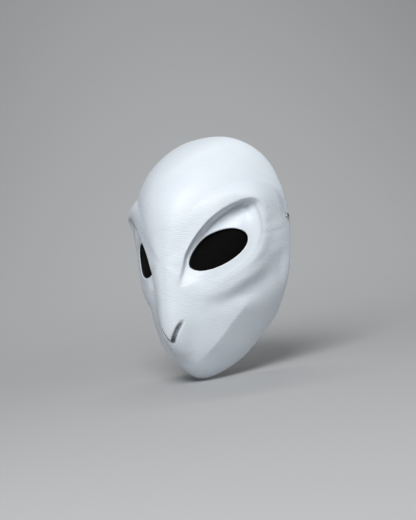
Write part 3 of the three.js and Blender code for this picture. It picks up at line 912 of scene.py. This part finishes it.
def stitching(side, name):
    # three rows of thread across the strap, behind each rivet
    line = strapLine() if side > 0 else strapLine()[::-1] * (1, 1)
    run = np.append(0, np.cumsum(np.linalg.norm(np.diff(line, axis=0), axis=1)))
    points, faces = [], []
    count, around, steps = 8, 8, 6
    for row in (11.5, 13.5, 15.5):
        x, y = np.interp(row, run, line[:, 0]), np.interp(row, run, line[:, 1])
        ahead = np.array([np.interp(row + 1, run, line[:, k]) for k in (0, 1)]) - (x, y)
        ahead /= np.linalg.norm(ahead)
        inward = np.array([-1.0 if x > 0 else 1.0, 0.0])
        inward -= ahead * (inward @ ahead)
        inward /= np.linalg.norm(inward)
        for face in (1, -1):
            for stitch in range(count):
                z0 = strapMiddle + (stitch - (count - 1) / 2) * webbing["stitch"]
                base = len(points)
                for i in range(steps + 1):
                    s = i / steps
                    lift = math.sin(s * math.pi) ** 0.5
                    z = z0 + (s - 0.5) * webbing["stitch"] * 0.86
                    radius = webbing["thread"] / 2 * (0.25 + 0.75 * lift)
                    middle = webbing["thick"] / 2 - 0.12 + 0.16 * lift
                    for k in range(around):
                        turn = k / around * 2 * math.pi
                        flat = (np.array([x, y]) + inward * face * (middle + radius * math.sin(turn))
                                + ahead * radius * math.cos(turn))
                        points.append((flat[0], flat[1], z))
                for i in range(steps):
                    for k in range(around):
                        n = (k + 1) % around
                        faces.append((base + i * around + k, base + i * around + n,
                                      base + (i + 1) * around + n, base + (i + 1) * around + k))
                faces.append(tuple(base + k for k in range(around))[::-1])
                faces.append(tuple(base + steps * around + k for k in range(around)))
    thread = meshObject("strap_stitching_" + name, np.array(points) * mm, faces, [elasticBlack])
    fixNormals(thread)
    settle(thread, "strap", "elastic_webbing")


def fixNormals(piece):
    work = bmesh.new()
    work.from_mesh(piece.data)
    bmesh.ops.recalc_face_normals(work, faces=work.faces)
    work.to_mesh(piece.data)
    work.free()


elasticBlack = wovenElastic()
headStrap()
for side, name in ((-1, "left"), (1, "right")):
    stitching(side, name)
print("strap")


# three-bar slider
slider = {"bar": 3, "thick": 2, "voxel": 0.28, "round": 0.7}


def mouldedAcetal():
    # injection-moulded black acetal: satin, slightly waxy, with fine spark-eroded grain
    material, tree, shader = newMaterial("moulded_black_acetal")
    place = addNode(tree, "ShaderNodeTexCoord").outputs["Object"]
    grain = addNode(tree, "ShaderNodeTexNoise", {"Scale": 2200.0, "Detail": 2.0}, {"Vector": place})
    bump = addNode(tree, "ShaderNodeBump", {"Strength": 0.25, "Distance": 0.0001},
                   {"Height": grain.outputs["Fac"]})
    rough = addNode(tree, "ShaderNodeMapRange", {"To Min": 0.38, "To Max": 0.52},
                    {"Value": grain.outputs["Fac"]})
    tree.links.new(bump.outputs["Normal"], shader.inputs["Normal"])
    tree.links.new(rough.outputs["Result"], shader.inputs["Roughness"])
    shader.inputs["Base Color"].default_value = hexColour("#161618")
    shader.inputs["IOR"].default_value = 1.48
    return material


def strapSlider():
    low, high = (np.array(corner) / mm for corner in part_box("strap_slider"))
    bar, thick = slider["bar"], slider["thick"]
    boxes = [((low[0], low[1], low[2]), (high[0], high[1], low[2] + bar)),
             ((low[0], low[1], high[2] - bar), (high[0], high[1], high[2])),
             ((low[0], high[1] - thick, low[2]), (low[0] + bar, high[1], high[2])),
             ((high[0] - bar, high[1] - thick, low[2]), (high[0], high[1], high[2])),
             ((-bar / 2, low[1], low[2]), (bar / 2, low[1] + thick, high[2]))]
    work = bmesh.new()
    for a, b in boxes:
        size = [q - p for p, q in zip(a, b)]
        middle = [(p + q) / 2 for p, q in zip(a, b)]
        made = bmesh.ops.create_cube(work, size=1, matrix=Matrix.Translation(Vector(middle) * mm)
                                     @ Matrix.Diagonal((*[s * mm for s in size], 1)))
        edges = list({e for v in made["verts"] for e in v.link_edges})
        bmesh.ops.bevel(work, geom=edges, offset=slider["round"] * mm, segments=3, affect="EDGES")
    mesh = bpy.data.meshes.new("three_bar_slider")
    work.to_mesh(mesh)
    work.free()
    mesh.materials.append(acetal)
    piece = bpy.data.objects.new("three_bar_slider", mesh)
    bpy.context.scene.collection.objects.link(piece)
    fuse = piece.modifiers.new("one_moulding", "REMESH")
    fuse.mode = "VOXEL"
    fuse.voxel_size = slider["voxel"] * mm
    fuse.use_smooth_shade = True
    soften = piece.modifiers.new("soft_corners", "SMOOTH")
    soften.factor, soften.iterations = 0.5, 4
    settle(piece, "slider", "black_acetal", "strap_slider")


acetal = mouldedAcetal()
strapSlider()
print("slider")


# floor, backdrop, light and camera
setting = {
    "floorDrop": 0.0015, "backdropAway": 1.0, "wallTurn": 2.2,
    "azimuth": 35, "elevation": 1, "roll": 9, "distance": 1.107, "target": (0, -0.05, -0.006),
    "lens": 70, "shift": (14.63 / 520, -5.33 / 520),
}


def seamlessPaper():
    # pale matt background paper: even and grainless, so it only gives soft shadow
    material, tree, shader = newMaterial("matt_background_paper")
    shader.inputs["Base Color"].default_value = hexColour("#b4b5b6")
    shader.inputs["Roughness"].default_value = 0.9
    return material


def viewAxes():
    az, el, roll = (math.radians(setting[k]) for k in ("azimuth", "elevation", "roll"))
    back = Vector((math.sin(az) * math.cos(el), -math.cos(az) * math.cos(el), math.sin(el)))
    right = Vector((math.cos(az), math.sin(az), 0))
    up = back.cross(right)
    return (right * math.cos(roll) - up * math.sin(roll),
            right * math.sin(roll) + up * math.cos(roll), back)


def studio():
    floorZ = cadBox[0][2] - setting["floorDrop"]
    paper = seamlessPaper()
    # a sweep: flat floor, a wide bend, then upright, turned to face the camera
    profile = [(-3.0, 0.0)]
    bend = setting["wallTurn"]
    away = setting["backdropAway"]
    for step in range(25):
        turn = step / 24 * math.pi / 2
        profile.append((away + bend * math.sin(turn), bend * (1 - math.cos(turn))))
    profile.append((away + bend, 3.2))
    _, _, back = viewAxes()
    ahead = Vector((-back.x, -back.y, 0)).normalized()
    aside = Vector((ahead.y, -ahead.x, 0))
    points, faces = [], []
    for u, z in profile:
        for v in (-3.5, 3.5):
            p = ahead * u + aside * v
            points.append((p.x, p.y, floorZ + z))
    for i in range(len(profile) - 1):
        faces.append((2 * i, 2 * i + 1, 2 * i + 3, 2 * i + 2))
    sweep = meshObject("backdrop_sweep", points, faces, [paper])

    world = bpy.data.worlds.new("studio")
    world.use_nodes = True
    bpy.context.scene.world = world
    sky = world.node_tree.nodes["Background"]
    sky.inputs[0].default_value = hexColour("#585b5f")
    sky.inputs[1].default_value = 1.0
    lights = (("key_softbox", 24, 42, 1.5, 0.8, 21.5), ("right_fill", 75, 0, 1.6, 1.0, 3.5),
              ("backdrop_lamp", None, None, None, 1.2, 27))
    for name, azimuth, height, away, size, power in lights:
        lamp = bpy.data.lights.new(name, "AREA")
        lamp.size = size
        lamp.energy = power
        holder = bpy.data.objects.new(name, lamp)
        bpy.context.scene.collection.objects.link(holder)
        if azimuth is None:
            place, goal = ahead * 0.9 + Vector((0, 0, 1.7)), ahead * 2.5 + Vector((0, 0, 0.3))
        else:
            az, el = math.radians(azimuth), math.radians(height)
            goal = Vector((0, -0.05, 0))
            place = goal + away * Vector((
                math.sin(az) * math.cos(el), -math.cos(az) * math.cos(el), math.sin(el)))
        holder.location = place
        holder.rotation_euler = (goal - place).to_track_quat("-Z", "Y").to_euler()


def camera():
    right, up, back = viewAxes()
    place = Vector(setting["target"]) + back * setting["distance"]
    lens = bpy.data.cameras.new("view")
    lens.lens = setting["lens"]
    lens.sensor_width = 36
    lens.shift_x, lens.shift_y = setting["shift"]
    holder = bpy.data.objects.new("view", lens)
    bpy.context.scene.collection.objects.link(holder)
    holder.matrix_world = Matrix((
        (right.x, up.x, back.x, place.x), (right.y, up.y, back.y, place.y),
        (right.z, up.z, back.z, place.z), (0, 0, 0, 1)))
    bpy.context.scene.camera = holder


studio()
camera()
bpy.context.scene.view_settings.view_transform = "Standard"
print("studio set")
